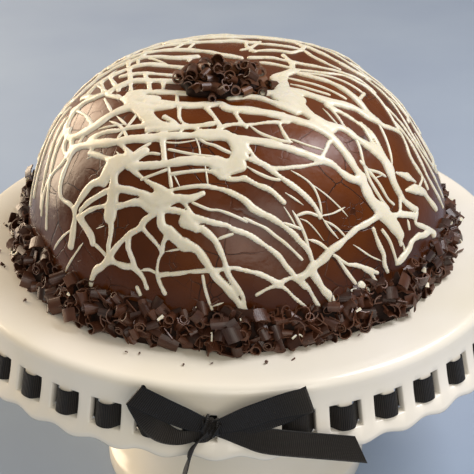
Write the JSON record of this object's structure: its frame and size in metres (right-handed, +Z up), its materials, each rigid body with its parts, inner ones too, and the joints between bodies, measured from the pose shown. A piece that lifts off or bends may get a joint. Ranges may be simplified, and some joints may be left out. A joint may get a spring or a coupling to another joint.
{
  "type": "chocolate dome cake on a cake stand",
  "caption": "Dome-shaped chocolate cake with white chocolate drizzle and chocolate curls, on a footed ceramic cake stand with a ribbon woven through its skirt.",
  "frame": {"origin": "Centre of the round foot of the stand, on the surface it rests on. The axis of the stand, the plate and the dome runs up through it.", "axes": "+Z up, along the axis of the stand. -Y is the front, where the ribbon is tied in a bow. +X is to the right as seen from the front."},
  "size_m": [0.3214, 0.3263, 0.2584],
  "materials": {
    "ceramic": "glossy ivory-white glaze",
    "chocolate_shell": "smooth set milk chocolate coating, satin to glossy; plastic stands in for food",
    "chocolate_curls": "shaved dark chocolate, satin outside and dull inside; plastic stands in for food",
    "white_chocolate": "set white chocolate drizzle, smooth and satin; plastic stands in for food",
    "ribbon": "black ribbed grosgrain"
  },
  "bodies": {
    "root": {"cake_stand": "ceramic", "cake_dome": "chocolate_shell", "curl_ring": "chocolate_curls", "curl_pile": "chocolate_curls", "ribbon": "ribbon"}
  },
  "joints": []
}
